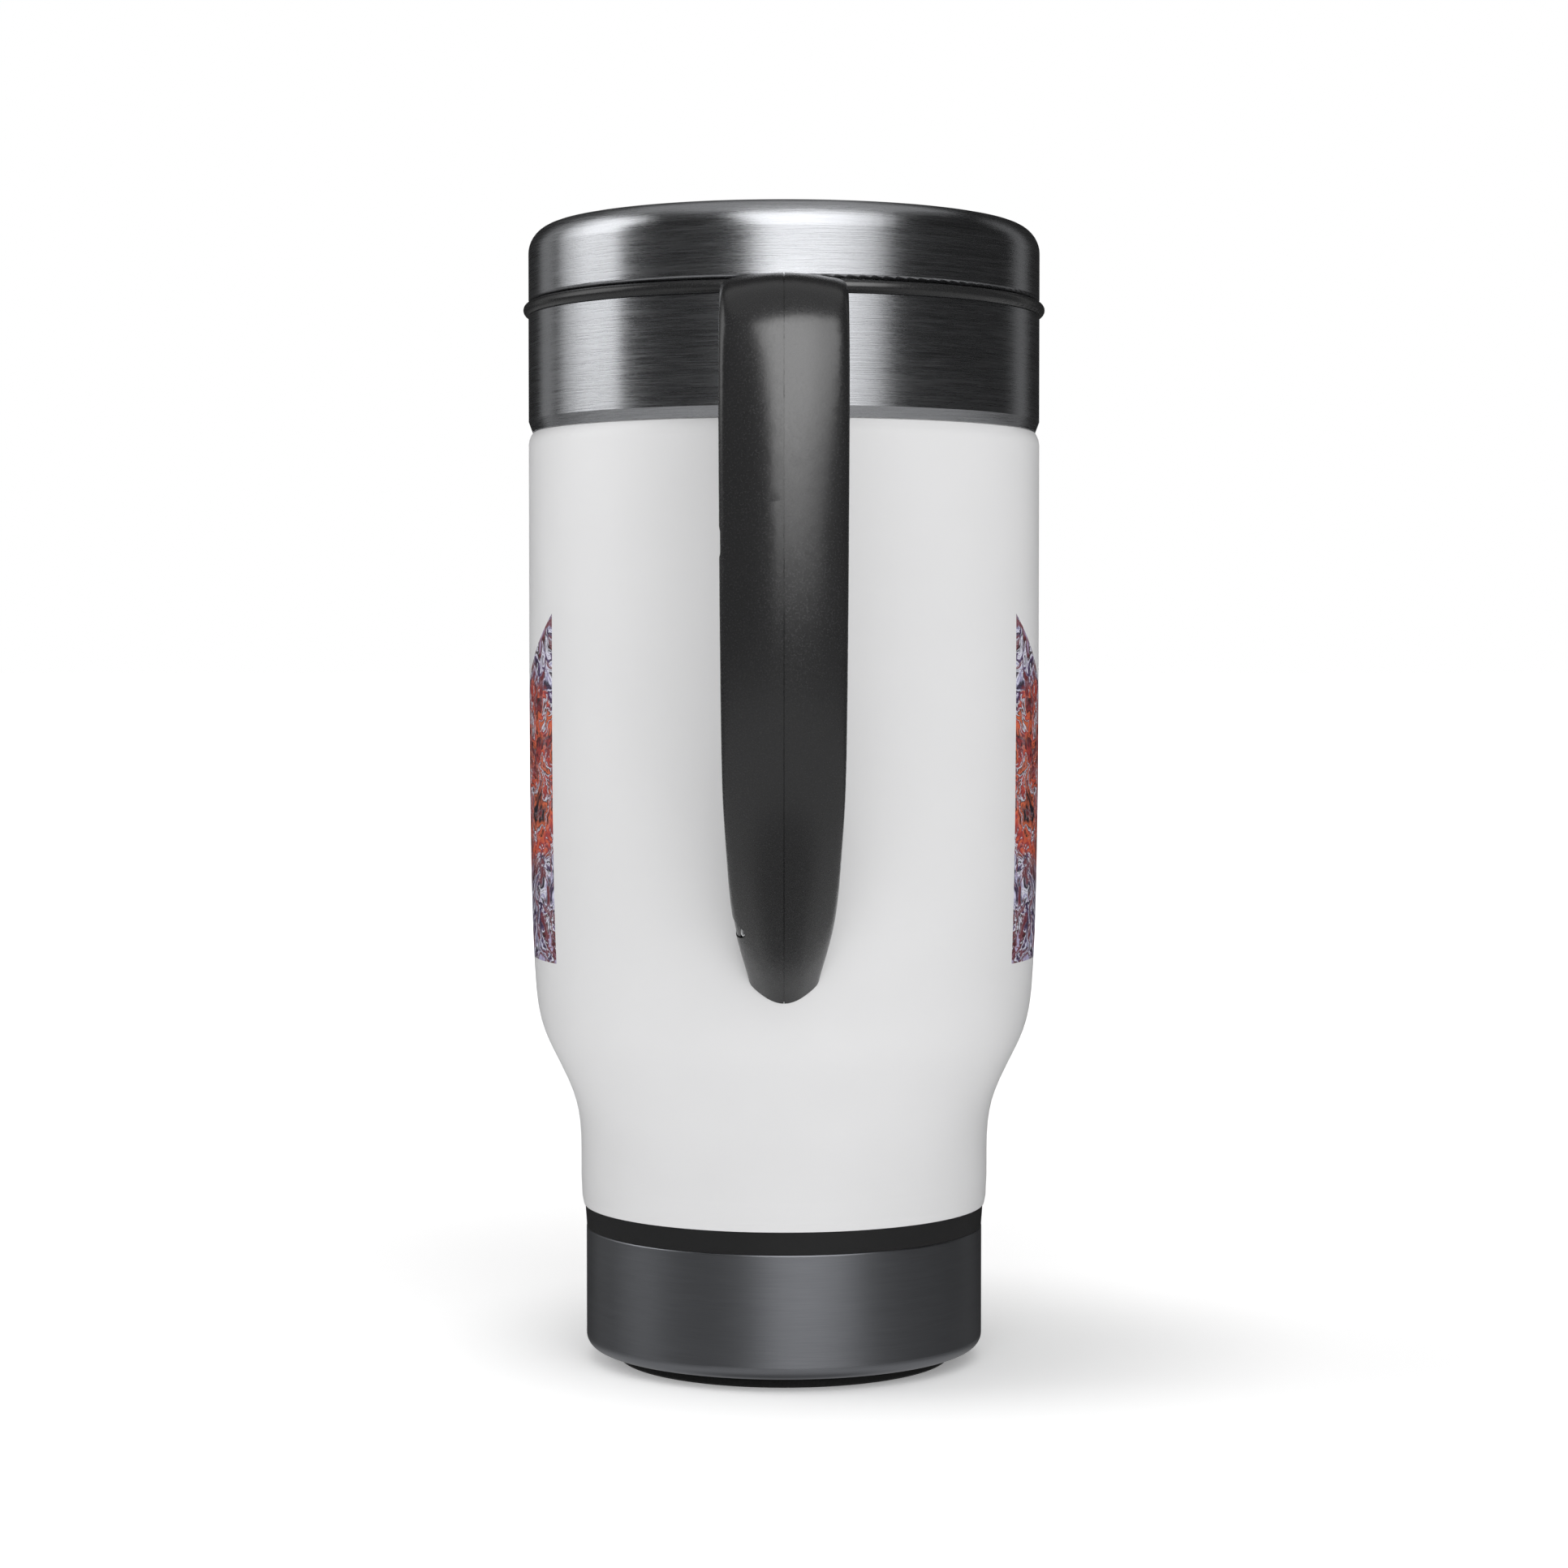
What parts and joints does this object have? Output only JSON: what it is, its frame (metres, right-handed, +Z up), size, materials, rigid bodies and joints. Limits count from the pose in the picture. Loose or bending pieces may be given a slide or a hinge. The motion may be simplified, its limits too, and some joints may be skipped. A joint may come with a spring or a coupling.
{
  "type": "insulated travel mug",
  "caption": "Double-walled steel travel mug that narrows to a cup-holder base, with a hollow two-part side handle and a press-in lid whose drink hole has a sliding shutter.",
  "frame": {"origin": "centre of the foot pad's underside, where the mug stands", "axes": "+Z up along the mug's axis; the handle is on the -Y side; the drink hole of the lid, as stored, is on the -X side"},
  "size_m": [0.0816, 0.1188, 0.1777],
  "materials": {
    "coated_steel": "smooth white coating",
    "steel": "brushed round the mug",
    "base_steel": "dark satin steel",
    "liner_steel": "plain satin sheet",
    "solder_glass": "fused bead",
    "getter_metal": "sintered pill",
    "black_plastic": "satin black moulding",
    "handle_plastic": "fine-grained charcoal moulding",
    "shutter_plastic": "satin black moulding",
    "foot_rubber": "matt rubber",
    "silicone": "translucent grey silicone",
    "screw_steel": "bright zinc plate"
  },
  "bodies": {
    "mug": {"outer_shell": "coated_steel", "neck_shell": "steel", "inner_liner": "liner_steel", "floor_disc": "liner_steel", "vacuum_seal": "solder_glass", "getter": "getter_metal", "base_sleeve": "black_plastic", "base_cup": "base_steel", "foot_pad": "foot_rubber", "collar_ring": "black_plastic", "handle_left": "handle_plastic", "handle_right": "handle_plastic", "handle_screws": "screw_steel", "handle_plugs": "handle_plastic", "lower_bracket": "liner_steel"},
    "seals": {"plug_seal": "silicone", "rim_seal": "silicone"},
    "lid": {"lid_cap": "steel", "lid_body": "black_plastic", "lid_cover": "black_plastic"},
    "slider": {"shutter": "shutter_plastic", "shutter_seal": "silicone", "shutter_clip": "shutter_plastic"}
  },
  "joints": [
    {"name": "lid_lift", "type": "slide", "parent": "mug", "child": "seals", "axis": [0, 0, 1], "range_m": [0, 0.045]},
    {"name": "lid_turn", "type": "hinge", "parent": "seals", "child": "lid", "pos_m": [0, 0, 0.165], "axis": [0, 0, 1], "continuous": true},
    {"name": "shutter_slide", "type": "slide", "parent": "lid", "child": "slider", "axis": [1, 0, 0], "range_m": [0, 0.014]}
  ]
}
